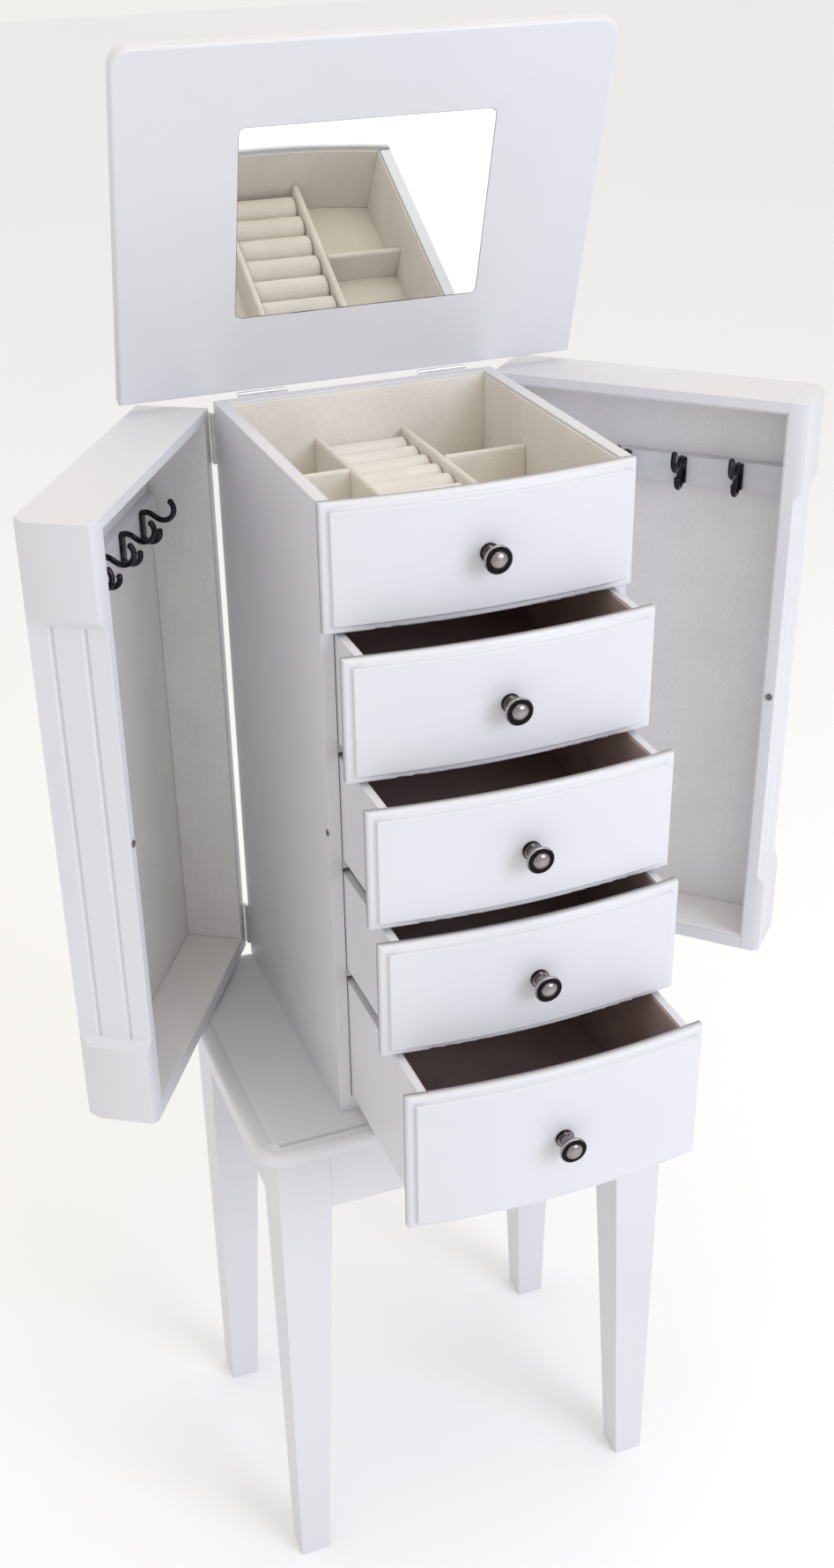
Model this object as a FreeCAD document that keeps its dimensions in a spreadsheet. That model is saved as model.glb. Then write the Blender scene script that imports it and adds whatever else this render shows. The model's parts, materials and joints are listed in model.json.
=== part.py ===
import FreeCAD, Part
import math
import os
import re

V = FreeCAD.Vector
Rotation = FreeCAD.Rotation
Placement = FreeCAD.Placement
TINY = 1e-4

# Millimetres, +Z up, front towards -Y. Everything is built about the middle of the case, with the
# lid, doors and drawers closed, then turned or slid to its stored position. Last of all the whole
# armoire is shifted so that the origin is at floor level under the centre of its stored outline.

DIMENSIONS = [
    ("shift_x", -17.3, "from the middle of the case to the origin"),
    ("shift_y", 65.5, "from the middle of the case to the origin"),
    # case
    ("case_half", 116.0, "half width of the case"),
    ("case_back", 127.0, "rear plane of the case"),
    ("case_front", -120.0, "front edges of the side panels"),
    ("case_low", 492.0, "underside of the case"),
    ("case_high", 1000.0, "top rim of the case"),
    ("side_t", 9.5, "side panel thickness"),
    ("back_t", 10.0, "back panel thickness"),
    ("floor_t", 14.5, "case floor thickness"),
    ("web_t", 8.0, "web between two drawers"),
    ("web_drop", 0.5, "running gap above a web"),
    # bowed fronts
    ("front_y", -128.0, "outer face at the ends of a bowed front"),
    ("front_sag", 9.4, "bow of a front"),
    ("front_t", 7.0, "thickness of a front's base layer"),
    ("front_proud", 3.0, "how far the raised field stands out"),
    ("front_margin", 6.0, "width of the stepped border"),
    # drawers
    ("box_half", 105.75, "half width of a drawer box"),
    ("box_t", 6.0, "drawer side thickness"),
    ("box_floor", 4.0, "drawer bottom thickness"),
    ("box_lift", 9.0, "box bottom above front bottom"),
    ("box_rear", 105.0, "rear of a closed drawer box"),
    ("pull_1", 38.0, "stored opening of drawer 1"),
    ("pull_2", 77.0, "stored opening of drawer 2"),
    ("pull_3", 95.0, "stored opening of drawer 3"),
    ("pull_4", 143.0, "stored opening of drawer 4"),
    # linings
    ("skin_gap", 0.3, "gap between a lining and its board"),
    ("skin_t", 1.2, "lining thickness"),
    # tray
    ("tray_low", 930.0, "underside of the tray floor"),
    ("tray_floor_t", 4.0, "tray floor thickness"),
    ("tray_skin_high", 998.0, "top of the tray lining"),
    ("divider_high", 964.0, "top of the tray dividers"),
    ("divider_t", 5.5, "divider thickness"),
    ("divider_x", 36.0, "centre of the long dividers"),
    ("cross_y", 35.0, "centre of the cross dividers"),
    ("cross_front_y", -39.0, "front cross divider on the right, from centre"),
    ("roll_r", 11.8, "ring roll radius"),
    ("roll_pitch", 24.1, "ring roll spacing"),
    # doors
    ("door_axis_x", 117.5, "hinge axis to the side of centre"),
    ("door_axis_y", 131.5, "hinge axis behind centre"),
    ("door_rim_x", 118.5, "open rim of a closed door, to the side of centre"),
    ("door_back", 130.0, "rear face of a closed door"),
    ("door_len", 253.0, "door length, hinge to front"),
    ("door_deep", 58.0, "door box depth"),
    ("door_low", 498.0, "underside of the doors"),
    ("door_high", 994.0, "top of the doors"),
    ("door_cap_low", 12.0, "bottom board thickness"),
    ("door_cap_high", 8.0, "top board thickness"),
    ("stile_t", 10.0, "rear stile thickness"),
    ("pilaster_t", 9.7, "front pilaster thickness"),
    ("door_panel_t", 6.0, "outer panel thickness"),
    ("block_high", 77.0, "height of the pilaster blocks"),
    ("block_proud", 6.0, "how far the blocks stand out"),
    ("groove_from_mid", 12.3, "groove to pilaster centre line"),
    ("rail_low", 906.0, "underside of the hook rail"),
    ("rail_high", 929.0, "top of the hook rail"),
    ("rail_t", 8.0, "hook rail thickness"),
    ("rail_from_hinge", 19.0, "hook rail start, from the door's rear face"),
    ("hook_first", 57.0, "first hook, from the door's rear face"),
    ("hook_pitch", 47.0, "hook spacing"),
    ("catch_z", 748.0, "height of the magnetic catches"),
    ("barrel_r", 1.4, "hinge barrel radius"),
    ("barrel_len", 40.0, "hinge barrel length"),
    ("left_open", 32.2, "stored angle of the left door"),
    ("right_open", 44.4, "stored angle of the right door"),
    # lid
    ("lid_half", 187.5, "half width of the lid"),
    ("lid_axis_y", 132.6, "lid hinge axis, behind centre"),
    ("lid_axis_z", 1001.0, "lid hinge axis height"),
    ("lid_back", 131.0, "rear edge of the closed lid"),
    ("lid_low", 1001.5, "underside of the closed lid"),
    ("lid_deep", 268.0, "lid depth"),
    ("lid_t", 15.0, "lid thickness"),
    ("lid_open", 74.0, "stored angle of the lid"),
    ("mirror_half", 97.3, "half width of the mirror"),
    ("mirror_from_axis", 63.0, "mirror edge to the hinge axis"),
    ("mirror_len", 145.6, "mirror height"),
    ("mirror_t", 3.0, "mirror glass thickness"),
    # stand
    ("base_half", 190.0, "half width of the base board"),
    ("base_front", -151.0, "front of the base board"),
    ("base_back", 133.0, "rear of the base board"),
    ("base_low", 477.0, "underside of the base board"),
    ("base_nose", 12.0, "height of the rounded nose"),
    ("base_step", 11.0, "nose width before the raised top"),
    ("leg_x", 172.4, "outer side face of the legs"),
    ("leg_y", 126.7, "outer front and rear face of the legs"),
    ("leg_top", 44.0, "leg width at the apron"),
    ("leg_foot", 26.0, "leg width at the floor"),
    ("apron_low", 404.0, "underside of the aprons"),
    ("apron_t", 14.0, "apron thickness"),
]

FRONT_SOFTEN = 2.4          # rounding of a front's outer border
HOOK_COUNT = 4
ROLL_COUNT = 10
DRAWERS = [                 # name, front bottom, front top
    ("drawer_1", 811.0, 904.0),
    ("drawer_2", 715.0, 808.0),
    ("drawer_3", 619.0, 712.0),
    ("drawer_4", 498.0, 616.0),
]
FALSE_FRONT_LOW = 907.0

doc = FreeCAD.newDocument("jewelry_armoire")
sheet = doc.addObject("Spreadsheet::Sheet", "Sheet")
for row, (alias, value, note) in enumerate(DIMENSIONS, start=1):
    sheet.set("A%d" % row, note)
    sheet.set("B%d" % row, str(value))
    sheet.setAlias("B%d" % row, alias)
doc.recompute()

size = {alias: value for alias, value, note in DIMENSIONS}
WORDS = re.compile(r"\b(" + "|".join(size) + r")\b")
bow_radius = (size["case_half"] ** 2 + size["front_sag"] ** 2) / (2.0 * size["front_sag"])
parts = []


def bound(text):
    """Turn the dimension names in an expression into spreadsheet references."""
    return WORDS.sub(r"Sheet.\1", str(text))


class Swing:
    """A hinge: turns geometry built closed into its stored position."""

    def __init__(self, axis, angle, a, b):
        self.axis = axis
        self.angle = angle
        self.a = a
        self.b = b

    def move(self, x, y, z):
        if self.axis == "z":
            first, second = x, y
        else:
            first, second = y, z
        turned_first = "{a} + ({p} - ({a})) * cos({t}) - ({q} - ({b})) * sin({t})"
        turned_second = "{b} + ({p} - ({a})) * sin({t}) + ({q} - ({b})) * cos({t})"
        words = dict(a=self.a, b=self.b, p="(%s)" % first, q="(%s)" % second, t=self.angle)
        moved = [turned_first.format(**words), turned_second.format(**words)]
        if self.axis == "z":
            return moved[0], moved[1], z
        return x, moved[0], moved[1]


LEFT_DOOR = Swing("z", "(0 - left_open)", "(0 - door_axis_x)", "door_axis_y")
RIGHT_DOOR = Swing("z", "(0 + right_open)", "door_axis_x", "door_axis_y")
LID = Swing("x", "(0 - lid_open)", "lid_axis_y", "lid_axis_z")


def place(shape, x="0", y="0", z="0", swing=None, slide=None, turn=None):
    """Bind a placement. swing is a hinge, slide is how far the piece is pulled forward."""
    if slide:
        y = "(%s) - %s" % (y, slide)
    if swing:
        x, y, z = swing.move(x, y, z)
        direction = V(0, 0, 1) if swing.axis == "z" else V(1, 0, 0)
        shape.Placement = Placement(V(0, 0, 0), Rotation(direction, 10.0))
        shape.setExpression("Placement.Rotation.Angle", bound(swing.angle))
    elif turn:
        shape.Placement = Placement(V(0, 0, 0), Rotation(turn[0], turn[1]))
    shape.setExpression("Placement.Base.x", bound(x))
    shape.setExpression("Placement.Base.y", bound(y))
    shape.setExpression("Placement.Base.z", bound(z))
    return shape


def box(x0, x1, y0, y1, z0, z1, **where):
    block = doc.addObject("Part::Box", "box")
    block.setExpression("Length", bound("(%s) - (%s)" % (x1, x0)))
    block.setExpression("Width", bound("(%s) - (%s)" % (y1, y0)))
    block.setExpression("Height", bound("(%s) - (%s)" % (z1, z0)))
    return place(block, x0, y0, z0, **where)


def cylinder(radius, height, x="0", y="0", z="0", **where):
    rod = doc.addObject("Part::Cylinder", "cylinder")
    rod.setExpression("Radius", bound(radius))
    rod.setExpression("Height", bound(height))
    return place(rod, x, y, z, **where)


def cone(low, high, height, z):
    taper = doc.addObject("Part::Cone", "cone")
    taper.Radius1 = low
    taper.Radius2 = high
    taper.Height = height
    return place(taper, "0", "0", z)


def fuse(pieces, **where):
    joined = doc.addObject("Part::MultiFuse", "fusion")
    joined.Shapes = pieces
    joined.Refine = True
    return place(joined, **where)


def cut(base, tool, **where):
    rest = doc.addObject("Part::Cut", "cut")
    rest.Base = base
    rest.Tool = tool
    return place(rest, **where)


def common(pieces, **where):
    shared = doc.addObject("Part::MultiCommon", "common")
    shared.Shapes = pieces
    return place(shared, **where)


def compound(pieces, **where):
    group = doc.addObject("Part::Compound", "group")
    group.Links = pieces
    return place(group, **where)


def soften(base, radius, wanted, kind="Part::Fillet", **where):
    """Round or chamfer the edges of base that wanted() picks by their end and middle points."""
    doc.recompute()
    chosen = []
    for number, edge in enumerate(base.Shape.Edges, start=1):
        points = [vertex.Point for vertex in edge.Vertexes]
        points.append(edge.valueAt(0.5 * (edge.FirstParameter + edge.LastParameter)))
        if wanted(points):
            chosen.append((number, radius, radius))
    if not chosen:
        raise RuntimeError("no edge found to soften on " + base.Name)
    rounded = doc.addObject(kind, "soft")
    rounded.Base = base
    rounded.Edges = chosen
    return place(rounded, **where)


def keep(label, piece):
    """Name a finished piece and shift it to the shared origin."""
    piece.Label = label
    bindings = dict(piece.ExpressionEngine)
    for axis in ("x", "y"):
        where = [path for path in bindings if path.endswith("Placement.Base." + axis)][0]
        piece.setExpression("Placement.Base." + axis, "%s + Sheet.shift_%s" % (bindings[where], axis))
    parts.append(piece)
    return piece


def upright(points):
    return abs(points[0].x - points[1].x) < TINY and abs(points[0].y - points[1].y) < TINY


# ---------------------------------------------------------------- stand

def leg(side, end):
    """A square leg, tapered on its two inner faces below the apron."""
    column = doc.addObject("Part::Wedge", "taper")
    signs = (1 if side == "left" else -1, 1 if end == "front" else -1)
    reach = {"foot": size["leg_foot"], "top": size["leg_top"]}
    corner_x = -size["leg_x"] * signs[0]
    corner_y = -size["leg_y"] * signs[1]

    def span(corner, sign, width):
        ends = sorted((corner, corner + sign * width))
        return ends[0], ends[1]

    foot_x = span(corner_x, signs[0], reach["foot"])
    foot_y = span(corner_y, signs[1], reach["foot"])
    top_x = span(corner_x, signs[0], reach["top"])
    top_y = span(corner_y, signs[1], reach["top"])
    column.Xmin, column.Xmax = foot_x
    column.X2min, column.X2max = top_x
    column.Zmin, column.Zmax = -foot_y[1], -foot_y[0]
    column.Z2min, column.Z2max = -top_y[1], -top_y[0]
    column.Ymin = 0.0
    column.setExpression("Ymax", bound("apron_low"))
    place(column, turn=(V(1, 0, 0), 90.0))
    head = box(top_x[0], top_x[1], top_y[0], top_y[1], "apron_low", "base_low")
    return fuse([column, head])


for end in ("front", "back"):
    for side in ("left", "right"):
        keep("leg_%s_%s" % (end, side), leg(side, end))

keep("apron_front", box("leg_top - leg_x", "leg_x - leg_top", "0 - leg_y", "apron_t - leg_y",
                        "apron_low", "base_low"))
keep("apron_back", box("leg_top - leg_x", "leg_x - leg_top", "leg_y - apron_t", "leg_y",
                       "apron_low", "base_low"))
keep("apron_left", box("0 - leg_x", "apron_t - leg_x", "leg_top - leg_y", "leg_y - leg_top",
                       "apron_low", "base_low"))
keep("apron_right", box("leg_x - apron_t", "leg_x", "leg_top - leg_y", "leg_y - leg_top",
                        "apron_low", "base_low"))

nose = box("0 - base_half", "base_half", "base_front", "base_back", "base_low", "base_low + base_nose")
nose = soften(nose, 20.0, lambda p: upright(p) and p[0].y < 0)
nose = soften(nose, 6.0, lambda p: min(q.z for q in p) > size["base_low"] + size["base_nose"] - TINY)
nose = soften(nose, 3.0, lambda p: max(q.z for q in p) < size["base_low"] + TINY)
table = box("base_step - base_half", "base_half - base_step", "base_front + base_step",
            "base_back - base_step", "base_low + base_nose - 2", "case_low")
table = soften(table, 6.0, lambda p: upright(p) and p[0].y < 0)
keep("base_board", fuse([nose, table]))

# ---------------------------------------------------------------- case

INNER = "case_half - side_t"
BACK_FACE = "case_back - back_t"

keep("side_left", box("0 - case_half", "side_t - case_half", "case_front", "case_back",
                      "case_low", "case_high"))
keep("side_right", box(INNER, "case_half", "case_front", "case_back", "case_low", "case_high"))
keep("back_panel", box("side_t - case_half", INNER, BACK_FACE, "case_back", "case_low", "case_high"))
keep("case_floor", box("side_t - case_half", INNER, "case_front", BACK_FACE,
                       "case_low", "case_low + floor_t"))

for number, (name, low, high) in enumerate(DRAWERS[:3], start=1):
    top = "%s + box_lift - web_drop" % low
    keep("web_%d" % number, box("side_t - case_half", INNER, "case_front + 1", BACK_FACE,
                                "%s - web_t" % top, top))


def bow(low, high, back_off):
    """The space behind a bowed surface that lies back_off behind the fronts' outer face."""
    centre = "front_y - front_sag + %s + %s" % (bow_radius, back_off)
    return cylinder(bow_radius, "%s - %s + 20" % (high, low), "0", centre, "%s - 10" % low)


def bowed_front(low, high, slide=None):
    deep = "front_y - front_sag - front_proud - 5"
    slab = box("0 - case_half", "case_half", deep, "front_y + 20", low, high)
    layer = cut(common([slab, bow(low, high, "0")]), bow(low, high, "front_t"))
    limit = size["front_y"] + TINY

    def border(points):
        return max(q.y for q in points) < limit

    layer = soften(layer, FRONT_SOFTEN, border)
    field = box("front_margin - case_half", "case_half - front_margin", deep, "front_y + 20",
                "%s + front_margin" % low, "%s - front_margin" % high)
    raised = cut(common([field, bow(low, high, "0 - front_proud")]), bow(low, high, "1"))

    def rim(points):
        middle = points[-1]
        far = bow_radius - math.hypot(middle.x, middle.y - crest_centre)
        return abs(far) < 0.01

    crest_centre = size["front_y"] - size["front_sag"] + bow_radius - size["front_proud"]
    raised = soften(raised, 1.0, rim)
    return fuse([layer, raised], slide=slide)


def knob(height, slide=None):
    """A mushroom knob: back flange, neck, bell, rimmed face with a low dome."""
    flange = cylinder(7.0, 1.8)
    neck = cylinder(4.8, 6.4, z="1.6")
    bell = cone(4.8, 10.0, 5.8, "8.0")
    face = cylinder(10.4, 2.6, z="13.8")
    face = soften(face, 1.0, lambda p: all(abs(q.z - p[0].z) < TINY for q in p))
    dome = doc.addObject("Part::Ellipsoid", "dome")
    dome.Radius1 = 3.2
    dome.Radius2 = 6.5
    dome.Radius3 = 6.5
    place(dome, z="16.2")
    whole = fuse([flange, neck, bell, face, dome])
    place(whole, y="front_y - front_sag - front_proud", z=height, turn=(V(1, 0, 0), 90.0), slide=slide)
    return whole


def drawer_box(low, high, slide):
    """Sides, back and bottom, trimmed to meet the bowed front."""
    floor = "%s + box_lift" % low
    outside = box("0 - box_half", "box_half", "front_y - 5", "box_rear", floor, high)
    inside = box("box_t - box_half", "box_half - box_t", "front_y - 20", "box_rear - box_t",
                 "%s + box_floor" % floor, "%s + 5" % high)
    return common([cut(outside, inside), bow(low, high, "front_t")], slide=slide)


def lining(half, rear, low, high, thick, slide=None):
    """An open-topped liner whose front wall follows the bow."""
    outside = box("0 - (%s)" % half, half, "front_y - 5", rear, low, high)
    shell = common([outside, bow(low, high, "front_t + skin_gap")])
    inside = box("%s - (%s)" % (thick, half), "%s - %s" % (half, thick), "front_y - 5",
                 "%s - %s" % (rear, thick), "%s + %s" % (low, thick), "%s + 5" % high)
    hollow = common([inside, bow(low, high, "front_t + skin_gap + %s" % thick)])
    return cut(shell, hollow, slide=slide)


keep("false_front", bowed_front(FALSE_FRONT_LOW, "case_high"))
keep("false_front_knob", knob("(%s + case_high) / 2" % FALSE_FRONT_LOW))

for number, (name, low, high) in enumerate(DRAWERS, start=1):
    pull = "pull_%d" % number
    keep(name + "_front", bowed_front(low, high, slide=pull))
    keep(name + "_box", drawer_box(low, high, pull))
    keep(name + "_lining", lining("box_half - box_t - skin_gap", "box_rear - box_t - skin_gap",
                                  "%s + box_lift + box_floor + skin_gap" % low, "%s - 1" % high,
                                  "skin_t", slide=pull))
    keep(name + "_knob", knob((low + high) / 2.0, slide=pull))

# ---------------------------------------------------------------- tray under the lid

TRAY_TOP = "tray_low + tray_floor_t"
PAD_TOP = TRAY_TOP + " + skin_gap + skin_t + skin_gap"
WALL = INNER + " - skin_gap - skin_t - skin_gap"
TRAY_REAR = BACK_FACE + " - skin_gap - skin_t - skin_gap"
DIVIDER_FRONT = "front_y + 2"

keep("tray_floor", common([
    box("side_t - case_half", INNER, "front_y - 5", BACK_FACE, "tray_low", TRAY_TOP),
    bow(size["tray_low"], size["tray_low"] + 10, "front_t")]))
keep("tray_lining", lining(INNER + " - skin_gap", BACK_FACE + " - skin_gap",
                           TRAY_TOP + " + skin_gap", "tray_skin_high", "skin_t"))
for side, sign in (("left", -1), ("right", 1)):
    middle = "%d * divider_x" % sign
    keep("tray_divider_" + side, box(middle + " - divider_t / 2", middle + " + divider_t / 2",
                                     DIVIDER_FRONT, TRAY_REAR, PAD_TOP, "divider_high"))
keep("tray_cross_left", box("0 - (%s)" % WALL, "0 - divider_x - divider_t / 2",
                            "cross_y - divider_t / 2", "cross_y + divider_t / 2",
                            PAD_TOP, "divider_high"))
keep("tray_cross_right", compound([
    box("divider_x + divider_t / 2", WALL, "%s - divider_t / 2" % middle, "%s + divider_t / 2" % middle,
        PAD_TOP, "divider_high") for middle in ("cross_y", "cross_front_y")]))

rolls = []
for index in range(ROLL_COUNT):
    rolls.append(cylinder("roll_r", "2 * divider_x - divider_t - 0.6",
                          "divider_t / 2 + 0.3 - divider_x",
                          TRAY_REAR + " - roll_r - %d * roll_pitch - 0.1" % index,
                          PAD_TOP + " + roll_r", turn=(V(0, 1, 0), 90.0)))
keep("ring_rolls", compound(rolls))

# ---------------------------------------------------------------- doors

def door(side, swing):
    """Every piece of one door, built closed. sign is -1 on the left and +1 on the right."""
    sign = -1 if side == "left" else 1

    def slab(u0, u1, w0, w1, z0, z1, **where):
        """u runs forward from the door's rear face, w runs outward from its open rim."""
        near = "%d * (door_rim_x + %s)" % (sign, w0)
        far = "%d * (door_rim_x + %s)" % (sign, w1)
        if sign < 0:
            near, far = far, near
        return box(near, far, "door_back - (%s)" % u1, "door_back - (%s)" % u0, z0, z1, **where)

    inner_low = "door_low + door_cap_low"
    inner_high = "door_high - door_cap_high"
    front_of_box = "door_len - pilaster_t"

    caps = [
        slab("0", front_of_box, "0", "door_deep", "door_low", inner_low),
        slab("0", front_of_box, "0", "door_deep", inner_high, "door_high"),
        slab("0", "stile_t", "0", "door_deep - door_panel_t", inner_low, inner_high),
    ]
    keep("door_%s_frame" % side, fuse(caps, swing=swing))
    keep("door_%s_panel" % side, slab("0", front_of_box, "door_deep - door_panel_t", "door_deep",
                                      inner_low, inner_high, swing=swing))

    board = slab(front_of_box, "door_len", "0", "door_deep", "door_low", "door_high")
    grooves = []
    for offset in ("0 - groove_from_mid", "groove_from_mid"):
        centre = "%d * (door_rim_x + door_deep / 2 + (%s))" % (sign, offset)
        bar = doc.addObject("Part::Box", "groove")
        bar.Length = 3.0
        bar.Width = 3.0
        bar.setExpression("Height", bound("door_high - door_low - 2 * block_high"))
        place(bar, centre, "door_back - door_len - 3.0 / sqrt(2)", "door_low + block_high",
              turn=(V(0, 0, 1), 45.0))
        grooves.append(bar)
    fluted = cut(board, compound(grooves))
    blocks = []
    for z0, low_bevel, high_bevel in (("door_low", 1.0, 7.0), ("door_high - block_high", 7.0, 1.0)):
        block = doc.addObject("Part::Wedge", "block")
        outer_bevel, inner_bevel = 3.0, 10.0
        left_bevel, right_bevel = (outer_bevel, inner_bevel) if sign < 0 else (inner_bevel, outer_bevel)
        block.Xmin = 0.0
        block.setExpression("Xmax", bound("door_deep"))
        block.X2min = left_bevel
        block.setExpression("X2max", bound("door_deep - %s" % right_bevel))
        block.Zmin = 0.0
        block.setExpression("Zmax", bound("block_high"))
        block.Z2min = low_bevel
        block.setExpression("Z2max", bound("block_high - %s" % high_bevel))
        block.Ymin = 0.0
        block.setExpression("Ymax", bound("block_proud"))
        corner_x = "0 - door_rim_x - door_deep" if sign < 0 else "door_rim_x"
        blocks.append(mirrored_block(block, corner_x, z0))
    keep("door_%s_pilaster" % side, fuse([fluted] + blocks, swing=swing))

    outside = slab("stile_t + skin_gap", front_of_box + " - skin_gap", "0.5",
                   "door_deep - door_panel_t - skin_gap", inner_low + " + skin_gap",
                   inner_high + " - skin_gap")
    inside = slab("stile_t + skin_gap + skin_t", front_of_box + " - skin_gap - skin_t", "0 - 5",
                  "door_deep - door_panel_t - skin_gap - skin_t", inner_low + " + skin_gap + skin_t",
                  inner_high + " - skin_gap - skin_t")
    keep("door_%s_lining" % side, cut(outside, inside, swing=swing))

    rail_back = "door_deep - door_panel_t - skin_gap - skin_t - skin_gap"
    keep("door_%s_rail" % side, slab("rail_from_hinge", front_of_box + " - skin_gap - skin_t - skin_gap",
                                     rail_back + " - rail_t", rail_back, "rail_low", "rail_high",
                                     swing=swing))
    hooks = []
    for index in range(HOOK_COUNT):
        y = "door_back - hook_first - %d * hook_pitch" % index
        hooks.append(hook(sign, y, rail_back + " - rail_t"))
    keep("door_%s_hooks" % side, compound(hooks, swing=swing))

    magnet = cylinder(2.8, 1.0, "0 - door_rim_x" if sign < 0 else "door_rim_x - 1",
                      "door_back - door_len + pilaster_t / 2", "catch_z", turn=(V(0, 1, 0), 90.0))
    keep("door_%s_magnet" % side, compound([magnet], swing=swing))


def mirrored_block(block, corner_x, z0):
    """Lay a bevelled block on the pilaster face: its small face looks forward."""
    holder = compound([block])
    holder.Placement = Placement(V(0, 0, 0), Rotation(V(0, 0, 1), 180.0))
    holder.setExpression("Placement.Base.x", bound("%s + door_deep" % corner_x))
    holder.setExpression("Placement.Base.y", bound("door_back - door_len"))
    holder.setExpression("Placement.Base.z", bound(z0))
    return holder


def bent_wire(x, z, heading, moves):
    """A round wire in the XZ plane, with the point where it ends. Each move is (length, 0) for a
    straight piece or (radius, turn) for an arc; heading and turn are in degrees."""
    direction = V(math.cos(math.radians(heading)), 0, math.sin(math.radians(heading)))
    ring = Part.Wire([Part.makeCircle(HOOK_WIRE, V(x, 0, z), direction)])
    here, angle, path = V(x, 0, z), math.radians(heading), []
    for reach, turn in moves:
        if turn == 0:
            there = here + V(math.cos(angle), 0, math.sin(angle)) * reach
            path.append(Part.LineSegment(here, there).toShape())
        else:
            arm = math.copysign(reach, turn)
            centre = here - V(math.sin(angle), 0, -math.cos(angle)) * arm
            middle, angle = angle + math.radians(turn) / 2.0, angle + math.radians(turn)
            there = centre + V(math.sin(angle), 0, -math.cos(angle)) * arm
            halfway = centre + V(math.sin(middle), 0, -math.cos(middle)) * arm
            path.append(Part.Arc(here, halfway, there).toShape())
        here = there
    return Part.Wire(path).makePipeShell([ring], True, True), here


HOOK_WIRE = 2.2             # radius of the prongs
HOOK_PRONGS = [             # start x and z, heading, moves
    (1.0, 8.5, 140.0, [(9.0, 75.0), (4.0, 0), (9.0, -165.0)]),
    (0.8, -6.0, 245.0, [(3.0, 0), (7.5, -165.0)]),
]


def hook(sign, y, foot):
    """A double-prong hook: back plate, upper S-shaped prong and lower J-shaped prong."""
    body = Part.makeBox(3.0, 8.0, 22.0, V(-3.0, -4.0, -11.0))
    body = body.makeFillet(1.2, body.Edges)
    for start_x, start_z, heading, moves in HOOK_PRONGS:
        prong, tip = bent_wire(start_x, start_z, heading, moves)
        body = body.fuse(prong).fuse(Part.makeSphere(HOOK_WIRE * 1.12, tip))
    if sign < 0:
        body = body.mirror(V(0, 0, 0), V(1, 0, 0))
    front = body.common(Part.makeBox(80, 80, 80, V(-80 if sign > 0 else 0, -40, -40)))
    solid = doc.addObject("Part::Feature", "hook")
    solid.Shape = front
    return place(solid, "%d * (door_rim_x + %s)" % (sign, foot), y, "(rail_low + rail_high) / 2")


door("left", LEFT_DOOR)
door("right", RIGHT_DOOR)

# ---------------------------------------------------------------- strike plates and hinges

plates = []
for start in ("0 - case_half - 0.8", "case_half"):
    plates.append(cylinder(2.6, 0.8, start, "door_back - door_len + pilaster_t / 2", "catch_z",
                           turn=(V(0, 1, 0), 90.0)))
keep("strike_plates", compound(plates))


def door_hinge(sign, z):
    """A barrel on the door's hinge axis, with its leaf on the back of the case."""
    barrel = cylinder("barrel_r", "barrel_len", "%d * door_axis_x" % sign, "door_axis_y", z)
    spans = []
    for near, far, deep in (("case_half - 18", "door_axis_x", "case_back + 1"),
                            ("door_axis_x - 0.9", "door_axis_x + 0.9", "door_axis_y")):
        low, high = (near, far) if sign > 0 else ("0 - (%s)" % far, "0 - (%s)" % near)
        spans.append(box(low, high, "case_back", deep, z, "%s + barrel_len" % z))
    return fuse([barrel] + spans)


def lid_hinge(x):
    """A barrel on the lid's hinge axis, with its leaf on the back of the case."""
    barrel = cylinder("barrel_r", "barrel_len", x, "lid_axis_y", "lid_axis_z", turn=(V(0, 1, 0), 90.0))
    leaf = box(x, "%s + barrel_len" % x, "case_back", "case_back + 1", "case_high - 18", "lid_axis_z")
    web = box(x, "%s + barrel_len" % x, "case_back", "lid_axis_y", "lid_axis_z - 1.8", "lid_axis_z")
    return fuse([barrel, leaf, web])


keep("door_hinges", compound([door_hinge(sign, z) for sign in (-1, 1) for z in (502.0, 950.0)]))
keep("lid_hinges", compound([lid_hinge(x) for x in (-95.0, 55.0)]))

# ---------------------------------------------------------------- lid

slab = box("0 - lid_half", "lid_half", "lid_back - lid_deep", "lid_back", "lid_low", "lid_low + lid_t")
slab = soften(slab, 15.0, lambda p: upright(p) and p[0].y < 0)
slab = soften(slab, 5.0, lambda p: min(q.z for q in p) > size["lid_low"] + size["lid_t"] - TINY)
slab = soften(slab, 2.5, lambda p: max(q.z for q in p) < size["lid_low"] + TINY)
GLASS_BACK = "lid_back - mirror_from_axis"
GLASS_FRONT = "lid_back - mirror_from_axis - mirror_len"
recess = box("0 - mirror_half - 0.4", "mirror_half + 0.4", GLASS_FRONT + " - 0.4", GLASS_BACK + " + 0.4",
             "lid_low - 5", "lid_low + mirror_t + 0.4")
recess = soften(recess, 5.4, upright)
keep("lid_panel", cut(slab, recess, swing=LID))
glass = box("0 - mirror_half", "mirror_half", GLASS_FRONT, GLASS_BACK,
            "lid_low + 0.4", "lid_low + mirror_t + 0.4")
keep("mirror", soften(glass, 5.0, upright, swing=LID))

# ---------------------------------------------------------------- check and write

doc.recompute()
for item in doc.Objects:
    if "Invalid" in item.State or "Error" in item.State:
        raise RuntimeError("feature failed: %s (%s)" % (item.Label, item.Name))
for piece in parts:
    if not piece.Shape.isValid():
        raise RuntimeError("bad shape: " + piece.Label)
    if not piece.Shape.Solids:
        raise RuntimeError("no solid: " + piece.Label)

os.makedirs("parts", exist_ok=True)
for piece in parts:
    piece.Shape.exportStep(os.path.join("parts", piece.Label + ".step"))
print("%d parts" % len(parts))
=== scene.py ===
import json
import math

import bmesh
import bpy
import numpy as np
from mathutils import Matrix, Vector, noise


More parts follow.
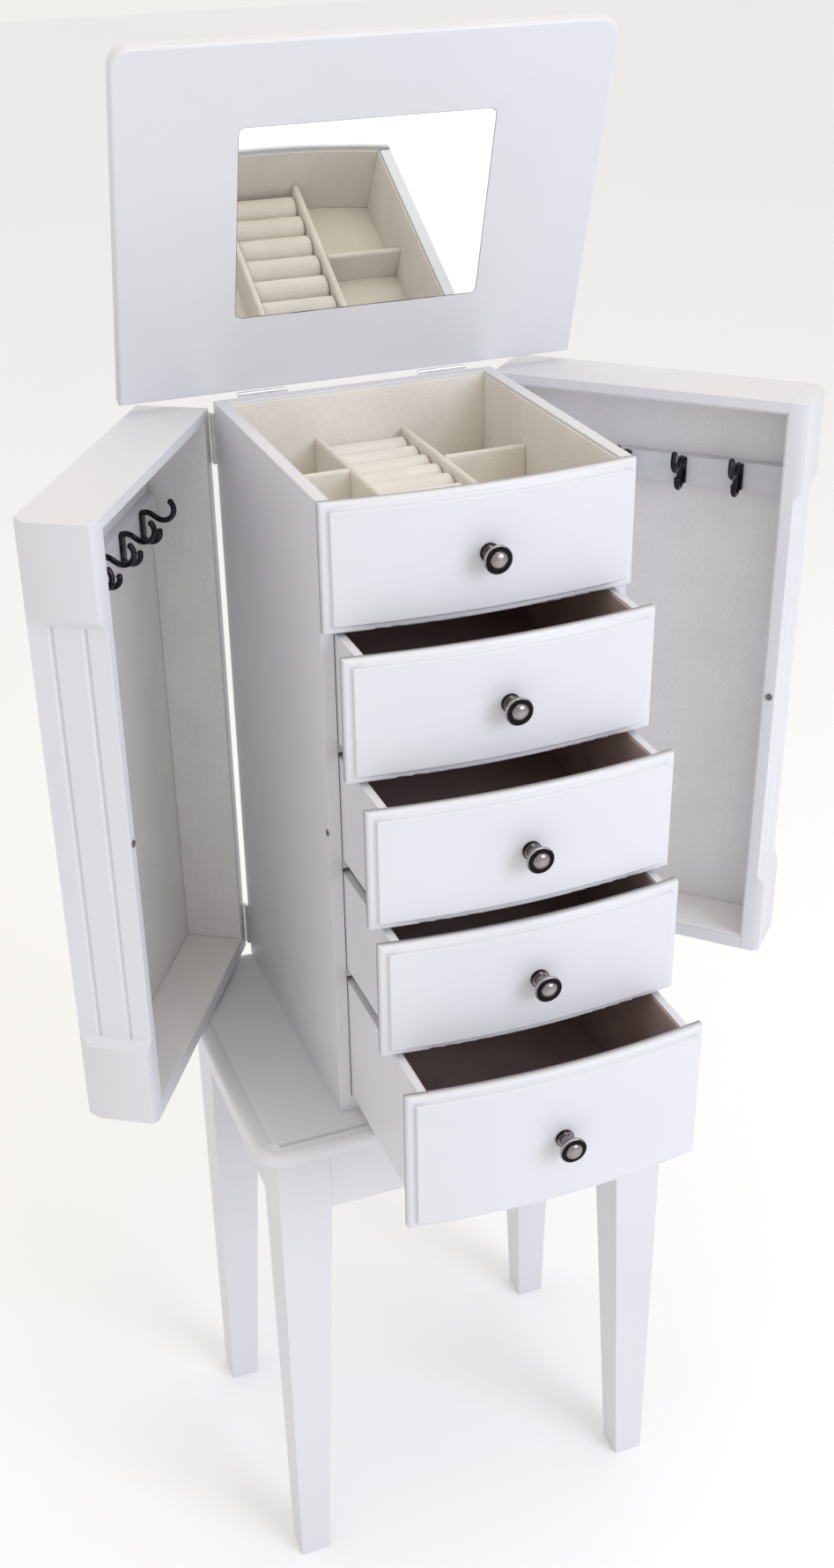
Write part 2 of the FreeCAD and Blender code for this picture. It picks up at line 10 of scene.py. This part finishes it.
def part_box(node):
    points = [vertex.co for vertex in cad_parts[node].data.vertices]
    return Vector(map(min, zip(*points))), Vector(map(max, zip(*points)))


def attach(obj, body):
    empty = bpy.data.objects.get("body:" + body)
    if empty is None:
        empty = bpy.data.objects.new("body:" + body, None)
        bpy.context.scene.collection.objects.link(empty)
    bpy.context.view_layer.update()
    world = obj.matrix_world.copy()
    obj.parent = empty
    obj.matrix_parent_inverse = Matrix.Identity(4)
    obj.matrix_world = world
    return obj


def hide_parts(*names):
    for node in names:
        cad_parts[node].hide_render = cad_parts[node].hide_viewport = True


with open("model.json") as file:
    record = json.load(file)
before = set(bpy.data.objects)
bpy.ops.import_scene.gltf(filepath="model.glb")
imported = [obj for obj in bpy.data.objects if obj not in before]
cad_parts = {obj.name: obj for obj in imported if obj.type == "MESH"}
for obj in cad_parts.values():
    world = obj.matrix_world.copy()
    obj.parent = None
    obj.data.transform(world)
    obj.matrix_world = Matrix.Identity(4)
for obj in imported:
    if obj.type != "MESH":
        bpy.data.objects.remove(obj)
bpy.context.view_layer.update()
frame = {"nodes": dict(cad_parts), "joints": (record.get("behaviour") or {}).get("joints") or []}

NODES = frame["nodes"]
JOINTS = {j["child"]: j for j in frame["joints"]}
MM = 0.001

# ------------------------------------------------------------------ materials

NOISE_LOW, NOISE_HIGH = 0.3, 0.7                # the noise texture seldom leaves this range
MIX_FIRST, MIX_SECOND, MIX_RESULT = 6, 7, 2     # the colour sockets of a Mix node


class Shade:
    """A Principled material whose colour, roughness and bump come from procedural nodes."""

    def __init__(self, name):
        self.mat = bpy.data.materials.new(name)
        self.mat.use_nodes = True
        self.tree = self.mat.node_tree
        self.shader = self.tree.nodes["Principled BSDF"]
        self.coords = self.tree.nodes.new("ShaderNodeTexCoord")
        self.relief = None

    def link(self, a, b):
        self.tree.links.new(a, b)

    def fixed(self, **values):
        """Set sockets of the shader itself, named with _ for a space."""
        for key, value in values.items():
            self.shader.inputs[key.replace("_", " ")].default_value = value

    def stretched(self, scale):
        """The object's own coordinates, scaled along each axis."""
        mapping = self.tree.nodes.new("ShaderNodeMapping")
        mapping.inputs["Scale"].default_value = scale
        self.link(self.coords.outputs["Object"], mapping.inputs["Vector"])
        return mapping.outputs["Vector"]

    def grain(self, scale, detail=3.0, stretch=(1, 1, 1)):
        """Noise in the object's own coordinates; scale is features a metre."""
        texture = self.tree.nodes.new("ShaderNodeTexNoise")
        texture.inputs["Scale"].default_value = scale
        texture.inputs["Detail"].default_value = detail
        self.link(self.stretched(stretch), texture.inputs["Vector"])
        return texture.outputs["Fac"]

    def ramp(self, value, stops):
        """Colours by value; stops are pairs of a value and its colour."""
        node = self.tree.nodes.new("ShaderNodeValToRGB")
        ramp = node.color_ramp
        while len(ramp.elements) < len(stops):
            ramp.elements.new(0.5)
        for element, (at, colour) in zip(ramp.elements, stops):
            element.position = at
            element.color = (*colour, 1.0)
        self.link(value, node.inputs["Fac"])
        return node.outputs["Color"]

    def between(self, texture, low, high):
        """Two colours, and what lies between them, spread over the range of a noise texture."""
        return self.ramp(texture, [(NOISE_LOW, low), (NOISE_HIGH, high)])

    def multiplied(self, first, second):
        """The product of two colours."""
        node = self.tree.nodes.new("ShaderNodeMix")
        node.data_type = "RGBA"
        node.blend_type = "MULTIPLY"
        node.inputs["Factor"].default_value = 1.0
        self.link(first, node.inputs[MIX_FIRST])
        self.link(second, node.inputs[MIX_SECOND])
        return node.outputs[MIX_RESULT]

    def calc(self, kind, a, b=0.0):
        """One sum on sockets or plain numbers."""
        node = self.tree.nodes.new("ShaderNodeMath")
        node.operation = kind
        for socket, value in zip(node.inputs, (a, b)):
            if isinstance(value, (int, float)):
                socket.default_value = value
            else:
                self.link(value, socket)
        return node.outputs[0]

    def colour(self, output):
        self.link(output, self.shader.inputs["Base Color"])

    def rough(self, texture, low, high):
        """Roughness from low to high over the range of a noise texture."""
        node = self.tree.nodes.new("ShaderNodeMapRange")
        node.inputs["From Min"].default_value = NOISE_LOW
        node.inputs["From Max"].default_value = NOISE_HIGH
        node.inputs["To Min"].default_value = low
        node.inputs["To Max"].default_value = high
        self.link(texture, node.inputs["Value"])
        self.link(node.outputs["Result"], self.shader.inputs["Roughness"])

    def bump(self, texture, depth):
        """Add one layer of relief; depth in metres."""
        node = self.tree.nodes.new("ShaderNodeBump")
        node.inputs["Strength"].default_value = 1.0
        node.inputs["Distance"].default_value = depth
        self.link(texture, node.inputs["Height"])
        if self.relief is not None:
            self.link(self.relief, node.inputs["Normal"])
        self.relief = node.outputs["Normal"]
        self.link(self.relief, self.shader.inputs["Normal"])


def painted(name, stretch):
    """Sprayed satin paint on board: faint grain along the board, orange peel, uneven sheen."""
    s = Shade(name)
    s.fixed(Coat_Weight=0.12, Coat_Roughness=0.28, IOR=1.48)
    s.colour(s.between(s.grain(7.0, detail=4.0), (0.655, 0.656, 0.688), (0.685, 0.686, 0.718)))
    s.rough(s.grain(30.0, detail=5.0, stretch=stretch), low=0.4, high=0.52)
    s.bump(s.grain(260.0, detail=2.0, stretch=stretch), depth=0.012 * MM)
    s.bump(s.grain(420.0, detail=2.0), depth=0.01 * MM)
    return s.mat


def velvet(name, deep, pale, sheen, tint, nap):
    """Short pile: brushed patches, a fine tufted surface and a soft edge glow; nap is its depth in metres."""
    s = Shade(name)
    s.fixed(Sheen_Weight=sheen, Sheen_Roughness=0.45, Sheen_Tint=(*tint, 1.0), IOR=1.4)
    s.fixed(Specular_IOR_Level=0.15)
    brushed = s.between(s.grain(26.0, detail=2.0), deep, pale)
    fibres = s.between(s.grain(1500.0, detail=2.0), (0.8, 0.8, 0.8), (1.0, 1.0, 1.0))
    s.colour(s.multiplied(brushed, fibres))
    s.rough(s.grain(60.0), low=0.86, high=0.98)
    s.bump(s.grain(60.0, detail=2.0), depth=nap)
    s.bump(s.grain(1300.0, detail=2.0), depth=0.1 * MM)
    return s.mat


def plated(name, dark, light, low, high):
    """Plated metal with cloudy polish; low and high are its roughness."""
    cloud = 180.0
    s = Shade(name)
    s.fixed(Metallic=1.0)
    s.colour(s.ramp(s.grain(cloud, detail=4.0), [(0.35, dark), (0.65, light)]))
    s.rough(s.grain(cloud * 2.0, detail=4.0), low, high)
    s.bump(s.grain(cloud * 3.0), depth=0.01 * MM)
    return s.mat


def knob_finish():
    """Black nickel with a paler metal dome that also carries a painted highlight, brightest in its middle,
    and a painted highlight along the rim.
    """
    # The dome colours are its paler metal plus a painted highlight that is brightest in the middle.
    dome_middle_metal_and_highlight, dome_edge_metal_and_highlight = (0.36, 0.33, 0.33), (0.27, 0.24, 0.245)
    # The rim colour is a painted highlight along the knob's edge.
    black, rim = (0.012, 0.011, 0.012), (0.42, 0.41, 0.41)
    s = Shade("black_nickel")
    s.fixed(Metallic=1.0)
    split = s.tree.nodes.new("ShaderNodeSeparateXYZ")
    s.link(s.coords.outputs["Generated"], split.inputs["Vector"])
    across = s.calc("POWER", s.calc("SUBTRACT", split.outputs["X"], 0.5), 2.0)
    upward = s.calc("POWER", s.calc("SUBTRACT", split.outputs["Z"], 0.5), 2.0)
    radius = s.calc("SQRT", s.calc("ADD", across, upward))
    cloudy = s.grain(300.0, detail=4.0)
    uneven = s.calc("MULTIPLY", s.calc("SUBTRACT", cloudy, 0.5), 0.05)
    # The stops are distances from the knob's middle, in shares of its width.
    s.colour(s.ramp(s.calc("ADD", radius, uneven), [
        (0.0, dome_middle_metal_and_highlight), (0.285, dome_edge_metal_and_highlight), (0.32, black), (0.455, black), (0.49, rim)]))
    s.rough(cloudy, low=0.16, high=0.3)
    return s.mat


def mirror_finish(facing):
    """Silvered glass that faces one way; its ground edge is green."""
    green, silver = (0.16, 0.42, 0.33), (0.9, 0.92, 0.92)
    s = Shade("silvered_glass")
    s.fixed(Metallic=1.0)
    across = s.tree.nodes.new("ShaderNodeVectorMath")
    across.operation = "DOT_PRODUCT"
    s.link(s.coords.outputs["Normal"], across.inputs[0])
    across.inputs[1].default_value = facing
    straight = s.calc("ABSOLUTE", across.outputs["Value"])
    s.colour(s.ramp(straight, [(0.6, green), (0.9, silver)]))
    s.rough(s.grain(9.0), low=0.004, high=0.02)
    return s.mat


PAINT = painted("white_paint_upright", (1, 1, 0.12))
PAINT_LEVEL = painted("white_paint_level", (0.12, 1, 1))
IVORY = velvet("ivory_velvet", deep=(0.77, 0.73, 0.67), pale=(0.84, 0.8, 0.74),
               sheen=0.15, tint=(1.0, 0.98, 0.95), nap=0.1 * MM)
BROWN = velvet("brown_velvet", deep=(0.42, 0.305, 0.29), pale=(0.5, 0.385, 0.36),
               sheen=0.4, tint=(0.8, 0.66, 0.58), nap=0.1 * MM)
GREY = velvet("grey_felt", deep=(0.84, 0.825, 0.83), pale=(0.88, 0.865, 0.87),
              sheen=0.05, tint=(1.0, 1.0, 1.0), nap=0.05 * MM)
HOOK = plated("gunmetal", dark=(0.018, 0.016, 0.02), light=(0.05, 0.046, 0.055), low=0.12, high=0.26)
STEEL = plated("plated_steel", dark=(0.2, 0.19, 0.18), light=(0.36, 0.35, 0.34), low=0.25, high=0.45)
NICKEL = plated("nickel", dark=(0.66, 0.65, 0.64), light=(0.78, 0.77, 0.76), low=0.4, high=0.55)
KNOB = knob_finish()

# ------------------------------------------------------------------ CAD nodes


def rest_turn(body):
    """The matrix that takes a hinged body from closed to its place at rest."""
    joint = JOINTS[body]
    centre = Vector(joint["pos_m"])
    turn = Matrix.Rotation(math.radians(-joint["range_deg"][0]), 4, Vector(joint["axis"]))
    return Matrix.Translation(centre) @ turn @ Matrix.Translation(-centre)


def closed_box(node, body):
    """Lowest and highest corner of a node with its hinged body shut."""
    back = rest_turn(body).inverted()
    points = np.array([back @ v.co for v in NODES[node].data.vertices])
    return Vector(points.min(0)), Vector(points.max(0))


def dress(node, finish):
    """Give a CAD node its finish."""
    obj = NODES[node]
    obj.data.materials.clear()
    obj.data.materials.append(finish)
    return obj


def weld(obj):
    """Drop the stored normals and join the corners that faces share."""
    if "custom_normal" in obj.data.attributes:
        obj.data.attributes.remove(obj.data.attributes["custom_normal"])
    obj.data.shade_smooth()
    welded = obj.modifiers.new("weld", "WELD")
    welded.merge_threshold = 0.01 * MM


def even_shading(obj):
    """Let the large faces set the normals, for boards whose fillets are in the CAD."""
    weld(obj)
    weighted = obj.modifiers.new("weighted", "WEIGHTED_NORMAL")
    weighted.weight = 100
    weighted.thresh = 0.001


def round_edges(obj, width):
    """Round the sharp edges a little."""
    weld(obj)
    rounded = obj.modifiers.new("bevel", "BEVEL")
    rounded.width = width
    rounded.segments = 3
    rounded.limit_method = "ANGLE"
    rounded.angle_limit = math.radians(32)
    rounded.harden_normals = True


# Words in the names of the nodes whose grain runs from side to side. The front legs are among them.
LEVEL = ("base_board", "apron_front", "apron_back", "rail", "floor", "web", "front", "lid_panel")
FILLETED = ("1_front", "2_front", "3_front", "4_front", "false_front", "base_board", "lid_panel")
BOARD_BEVEL, GLASS_BEVEL = 0.5 * MM, 0.4 * MM
MIRROR_FACES = Vector((0, 0, -1))               # with the lid shut

for node in NODES:
    if node.endswith("knob"):
        dress(node, KNOB)
    elif node.endswith("hooks"):
        dress(node, HOOK)
    elif node.endswith("magnet") or node == "strike_plates":
        dress(node, STEEL)
    elif node.endswith("hinges"):
        dress(node, NICKEL)
    elif node == "mirror":
        silvered = mirror_finish(rest_turn("lid").to_3x3() @ MIRROR_FACES)
        round_edges(dress(node, silvered), GLASS_BEVEL)
    else:
        board = dress(node, PAINT_LEVEL if any(word in node for word in LEVEL) else PAINT)
        if node.endswith(FILLETED):
            even_shading(board)
        else:
            round_edges(board, BOARD_BEVEL)

# ------------------------------------------------------------------ soft pieces

BOW_RADIUS = 0.7204                             # of the bowed front, so the linings follow it
SKIN = 1.0 * MM                                 # how far a lining stands off its board
TUCK = 0.9 * SKIN                               # how far one lining starts from the next
PAD_EDGE = 1.1 * MM                             # width of a lining's rounded edge
PAD_RIM = 0.25                                  # its height at the very edge, in shares of SKIN
PAD_CROWN = 0.25 * MM                           # extra height in the middle
PAD_STEP, PAD_STEP_DOOR = 6 * MM, 9 * MM
RIPPLE, RIPPLE_SCALE = 0.12 * MM, 45.0
CREASE_ANGLE = math.radians(50)


def dome(share):
    """0 at both ends of a side and 1 at its middle, full in between."""
    return math.sqrt(max(0.0, math.sin(math.pi * share)))


class Cloth:
    """Collects closed shells of cloth into one mesh."""

    def __init__(self):
        self.points = []
        self.faces = []

    def pad(self, surface, inward, size, seed, step=PAD_STEP):
        """A card panel wrapped in cloth.

        surface(s, t) is on the board and inward(s, t) points off it, with s and t from 0 to 1.
        size is in metres.
        """
        rows = [self.spacing(length, step) for length in size]
        start = len(self.points)
        for layer in (0, 1):
            for s in rows[0]:
                for t in rows[1]:
                    share = s / size[0], t / size[1]
                    gap = min(s, size[0] - s, t, size[1] - t)
                    base = surface(*share)
                    ripple = noise.noise(base * RIPPLE_SCALE + Vector((seed, 0, 0))) * RIPPLE
                    swell = PAD_CROWN * dome(share[0]) * dome(share[1])
                    rise = self.profile(gap) * SKIN + swell + ripple * min(1.0, gap / (4 * PAD_EDGE))
                    self.points.append(base + inward(*share) * (rise * layer))
        across, along = (len(row) for row in rows)

        def at(layer, i, j):
            return start + layer * across * along + i * along + j

        for i in range(across - 1):
            for j in range(along - 1):
                corners = [(i, j), (i + 1, j), (i + 1, j + 1), (i, j + 1)]
                self.faces.append(tuple(at(1, *corner) for corner in corners))
                self.faces.append(tuple(at(0, *corner) for corner in reversed(corners)))
        rim = [(i, 0) for i in range(across)]
        rim += [(across - 1, j) for j in range(1, along)]
        rim += [(i, along - 1) for i in range(across - 2, -1, -1)]
        rim += [(0, j) for j in range(along - 2, 0, -1)]
        for here, there in zip(rim, rim[1:] + rim[:1]):
            self.faces.append((at(0, *here), at(0, *there), at(1, *there), at(1, *here)))

    @staticmethod
    def profile(gap):
        """Height of the rounded edge at a distance from it, from PAD_RIM to 1."""
        if gap >= PAD_EDGE:
            return 1.0
        share = 1.0 - gap / PAD_EDGE
        return PAD_RIM + (1.0 - PAD_RIM) * math.sqrt(max(0.0, 1.0 - share * share))

    @staticmethod
    def spacing(length, step):
        """Places along a side: close together at its ends, a step apart in between."""
        near = [0.0, 0.15 * PAD_EDGE, 0.4 * PAD_EDGE, 0.7 * PAD_EDGE, PAD_EDGE]
        inner = length - 2 * PAD_EDGE
        count = max(2, round(inner / step))
        middle = [PAD_EDGE + inner * k / count for k in range(1, count)]
        return near + middle + [length - v for v in reversed(near)]

    def flat(self, corner, s_side, t_side, off, seed, **more):
        """A flat pad from a corner point and its two sides; off is the direction it rises in."""
        corner, s_side, t_side = Vector(corner), Vector(s_side), Vector(t_side)
        off = Vector(off)
        self.pad(lambda s, t: corner + s_side * s + t_side * t, lambda s, t: off,
                 (s_side.length, t_side.length), seed, **more)

    def tube(self, rings):
        """Rings of points, all of one length, joined in a row and closed at both ends."""
        start, around, last = len(self.points), len(rings[0]), len(rings) - 1
        self.points += [point for ring in rings for point in ring]
        for k in range(last):
            for j in range(around):
                m = (j + 1) % around
                corners = (k, j), (k, m), (k + 1, m), (k + 1, j)
                self.faces.append(tuple(start + row * around + column for row, column in corners))
        self.faces.append(tuple(start + j for j in reversed(range(around))))
        self.faces.append(tuple(start + last * around + j for j in range(around)))

    def build(self, name, finish, slot, body, nodes, matrix=None):
        """Make the mesh, hang it on the body it rides on, and hide the CAD nodes it stands for."""
        mesh = bpy.data.meshes.new(name)
        mesh.from_pydata([tuple(p) for p in self.points], [], self.faces)
        mesh.validate()
        if matrix is not None:
            mesh.transform(matrix)
        obj = bpy.data.objects.new(name, mesh)
        bpy.context.scene.collection.objects.link(obj)
        face_outward(obj)
        mesh.shade_smooth()
        mesh.set_sharp_from_angle(angle=CREASE_ANGLE)
        mesh.materials.append(finish)
        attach(obj, body)
        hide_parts(*nodes)
        return obj


def face_outward(obj):
    """Point every closed shell's faces outward."""
    work = bmesh.new()
    work.from_mesh(obj.data)
    bmesh.ops.recalc_face_normals(work, faces=work.faces)
    work.to_mesh(obj.data)
    work.free()


def bowed_tray(low, high, seed):
    """Cloth on the floor and four walls of an open box whose front follows the bow."""
    middle = (low.x + high.x) / 2

    def front(x):
        away = x - middle
        return low.y + BOW_RADIUS - math.sqrt(BOW_RADIUS ** 2 - away * away)

    wide, deep, tall = high.x - low.x, high.y - front(low.x), high.z - low.z
    rise = tall - TUCK
    foot = low.z + TUCK

    def floor_at(s, t):
        x = low.x + wide * s
        y = front(x)
        return Vector((x, y + (high.y - y) * t, low.z))

    def front_at(s, t):
        x = low.x + wide * s
        return Vector((x, front(x), foot + rise * t))

    cloth = Cloth()
    cloth.pad(floor_at, lambda s, t: Vector((0, 0, 1)), (wide, deep), seed)
    cloth.pad(front_at, lambda s, t: Vector((0, 1, 0)), (wide, rise), seed + 1)
    cloth.flat((low.x, high.y, foot), (wide, 0, 0), (0, 0, rise), (0, -1, 0), seed + 2)
    near, far = front(low.x) + TUCK, high.y - TUCK
    for x, facing, extra in ((low.x, 1, 3), (high.x, -1, 4)):
        cloth.flat((x, near, foot), (0, far - near, 0), (0, 0, rise), (facing, 0, 0), seed + extra)
    return cloth


for number in range(1, 5):
    lining = "drawer_%d_lining" % number
    cloth = bowed_tray(*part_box(lining), seed=10.0 * number)
    cloth.build("drawer_%d_velvet" % number, BROWN, "brown_velvet", "drawer_%d" % number, [lining])

cloth = bowed_tray(*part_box("tray_lining"), seed=60.0)
cloth.build("tray_velvet", IVORY, "ivory_velvet", "armoire", ["tray_lining"])


def door_cloth(side):
    """Felt on the back, ends and sides of a door's hollow."""
    body = "door_" + side
    lining = body + "_lining"
    low, high = closed_box(lining, body)
    outer, rim, into = (low.x, high.x, 1) if side == "left" else (high.x, low.x, -1)
    deep, long, tall = rim - outer, high.y - low.y, high.z - low.z
    start = outer + TUCK * into
    reach = (deep - TUCK * into, 0, 0)
    inner = tall - 2 * TUCK
    cloth = Cloth()
    cloth.flat((outer, low.y, low.z), (0, long, 0), (0, 0, tall), (into, 0, 0), 71, step=PAD_STEP_DOOR)
    cloth.flat((start, low.y, low.z), reach, (0, long, 0), (0, 0, 1), 72)
    cloth.flat((start, low.y, high.z), reach, (0, long, 0), (0, 0, -1), 73)
    cloth.flat((start, low.y, low.z + TUCK), reach, (0, 0, inner), (0, 1, 0), 74)
    cloth.flat((start, high.y, low.z + TUCK), reach, (0, 0, inner), (0, -1, 0), 75)
    cloth.build(body + "_felt", GREY, "grey_felt", body, [lining], rest_turn(body))


door_cloth("left")
door_cloth("right")


def covered_board(name, node, low, high):
    """A divider wrapped in velvet: a rounded top and a little softness in its faces."""
    softness, soft_scale = 0.035, 60.0
    size = high - low
    across, along = (0, 1) if size.x < size.y else (1, 0)
    half = size[across] / 2
    middle = (low[across] + high[across]) / 2
    straight = size.z - half                    # height of the faces below the rounded top
    side_levels = (0.0, 0.35, 0.7)
    # The outline's second value is 0 at the foot, 1 where the rounding starts and 2 at its top.
    outline = [(-half, level) for level in side_levels]
    outline += [(-half * math.cos(turn), 1.0 + math.sin(turn)) for turn in np.linspace(0, math.pi, 11)]
    outline += [(half, level) for level in reversed(side_levels)]
    steps = max(8, round(size[along] / (4 * MM)))
    rings = []
    for k in range(steps + 1):
        ring = []
        for offset, level in outline:
            place = Vector()
            place[across] = middle + offset
            place[along] = low[along] + size[along] * k / steps
            place.z = low.z + straight * min(level, 1.0) + half * max(level - 1.0, 0.0)
            if level > 0.0:
                soft = softness * (1.0 + noise.noise(place * soft_scale))
                place[across] = middle + offset * (1.0 - soft)
            ring.append(place)
        rings.append(ring)
    cloth = Cloth()
    cloth.tube(rings)
    cloth.build(name, IVORY, "ivory_velvet", "armoire", [node])


def short_dividers():
    """One divider on the left and two on the right, which are one node: a board at each end of its box."""
    low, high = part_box("tray_cross_left")
    covered_board("cross_left_velvet", "tray_cross_left", low, high)
    thick = high.y - low.y
    low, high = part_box("tray_cross_right")
    covered_board("cross_right_front_velvet", "tray_cross_right",
                  low, Vector((high.x, low.y + thick, high.z)))
    covered_board("cross_right_back_velvet", "tray_cross_right",
                  Vector((low.x, high.y - thick, low.z)), high)


covered_board("divider_left_velvet", "tray_divider_left", *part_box("tray_divider_left"))
covered_board("divider_right_velvet", "tray_divider_right", *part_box("tray_divider_right"))
short_dividers()

ROLLS = 10
ROLL_AROUND, ROLL_ALONG = 48, 34                # faces round a roll and along it
ROLL_END = 3.2 * MM                             # length of its rounded ends
# In shares of its radius: the very end, what the middle adds to that, and how low the flat underside is.
ROLL_END_SHARE, ROLL_SWELL, ROLL_UNDERSIDE = 0.72, 0.265, 0.94
PLEAT, PLEATS, PLEAT_REACH = 0.12 * MM, 12, 7 * MM
SEAM, SEAM_AT, SEAM_WIDTH = 0.35 * MM, math.radians(215), 0.12
LUMPS, LUMPS_ALONG, LUMPS_AROUND, LUMPS_APART = 0.22 * MM, 55.0, 1.4, 3.1


def ring_roll(index, low, high):
    """A foam roll in velvet: flat underneath, gathered at its ends, with a seam low on the back."""
    radius = (high.z - low.z) / 2
    pitch = (high.y - low.y - 2 * radius) / (ROLLS - 1)
    middle_y, middle_z = low.y + radius + pitch * index, low.z + radius
    length = high.x - low.x
    rings = []
    for k in range(ROLL_ALONG + 1):
        share = k / ROLL_ALONG
        x = low.x + length * share
        end = min(share, 1 - share) * length
        fullness = math.sqrt(1 - (1 - min(1.0, end / ROLL_END)) ** 2)
        reach = radius * (ROLL_END_SHARE + ROLL_SWELL * fullness)
        ring = []
        for j in range(ROLL_AROUND):
            turn = 2 * math.pi * j / ROLL_AROUND
            y, z = math.cos(turn), math.sin(turn)
            pleat = PLEAT * math.cos(turn * PLEATS + index) * max(0.0, 1 - end / PLEAT_REACH)
            seam = SEAM * math.exp(-((turn - SEAM_AT) / SEAM_WIDTH) ** 2)
            spot = Vector((x * LUMPS_ALONG, y * LUMPS_AROUND, z * LUMPS_AROUND + index * LUMPS_APART))
            r = reach + pleat - seam + LUMPS * noise.noise(spot)
            ring.append(Vector((x, middle_y + y * r, middle_z + max(z * r, -radius * ROLL_UNDERSIDE))))
        rings.append(ring)
    cloth = Cloth()
    cloth.tube(rings)
    obj = cloth.build("ring_roll_%d" % (index + 1), IVORY, "ivory_velvet", "armoire", ["ring_rolls"])


for index in range(ROLLS):
    ring_roll(index, *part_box("ring_rolls"))

# ------------------------------------------------------------------ floor, light and camera

FLOOR_HALF = 14.0
LIGHTS_AIM = Vector((0, 0, 0.7))
EYE = (-0.47371, -1.1235, 1.39618)              # in metres
YAW, PITCH, TILT = math.radians(19.53), math.radians(29.34), math.radians(-1.51)
FOCAL_LENGTH = 1.14098                          # in picture heights
SHIFT = (0.02444, 0.01716)                      # in picture heights
SENSOR_MM = 36.0


def floor():
    """A pale floor, wide enough to fill the view behind the armoire."""
    corners = [(x * FLOOR_HALF, y * FLOOR_HALF, 0) for x, y in ((-1, -1), (1, -1), (1, 1), (-1, 1))]
    mesh = bpy.data.meshes.new("floor")
    mesh.from_pydata(corners, [], [(0, 1, 2, 3)])
    obj = bpy.data.objects.new("floor", mesh)
    bpy.context.scene.collection.objects.link(obj)
    s = Shade("pale_floor")
    s.colour(s.between(s.grain(0.6), (0.94, 0.945, 0.955), (0.96, 0.965, 0.975)))
    s.rough(s.grain(4.0), low=0.7, high=0.85)
    mesh.materials.append(s.mat)


def area_light(name, direction, distance, size, power, colour):
    """A round lamp that shines on the armoire from a direction; lengths in metres, power in watts."""
    light = bpy.data.lights.new(name, "AREA")
    light.shape = "DISK"
    light.size = size
    light.energy = power
    light.color = colour
    obj = bpy.data.objects.new(name, light)
    obj.location = LIGHTS_AIM + Vector(direction).normalized() * distance
    obj.rotation_euler = (LIGHTS_AIM - obj.location).to_track_quat("-Z", "Y").to_euler()
    bpy.context.scene.collection.objects.link(obj)


def camera():
    """The main view, from in front, above and to the left, leaning a little to one side."""
    level = Vector((math.sin(YAW), math.cos(YAW), 0))
    forward = level * math.cos(PITCH) - Vector((0, 0, math.sin(PITCH)))
    right = Vector((math.cos(YAW), -math.sin(YAW), 0))
    up = right.cross(forward)
    across = math.cos(TILT) * right + math.sin(TILT) * up
    upward = math.cos(TILT) * up - math.sin(TILT) * right
    data = bpy.data.cameras.new("camera")
    data.sensor_width = SENSOR_MM
    data.lens = FOCAL_LENGTH * SENSOR_MM
    data.shift_x, data.shift_y = SHIFT
    data.clip_start = 0.05
    data.clip_end = 60.0
    obj = bpy.data.objects.new("camera", data)
    axes = Matrix((across, upward, -forward)).transposed()
    obj.matrix_world = Matrix.Translation(EYE) @ axes.to_4x4()
    bpy.context.scene.collection.objects.link(obj)
    bpy.context.scene.camera = obj


floor()
area_light("window", (0.44, -0.8, 0.4), distance=3.4, size=2.0, power=46.0, colour=(0.76, 0.83, 1.0))
area_light("ceiling", (0.0, -0.1, 1.0), distance=2.6, size=2.2, power=15.0, colour=(1.0, 0.88, 0.58))
camera()

world = bpy.data.worlds.new("studio")
world.use_nodes = True
world.node_tree.nodes["Background"].inputs["Color"].default_value = (1.0, 0.978, 0.955, 1.0)
world.node_tree.nodes["Background"].inputs["Strength"].default_value = 0.88
bpy.context.scene.world = world
bpy.context.scene.view_settings.view_transform = "Standard"
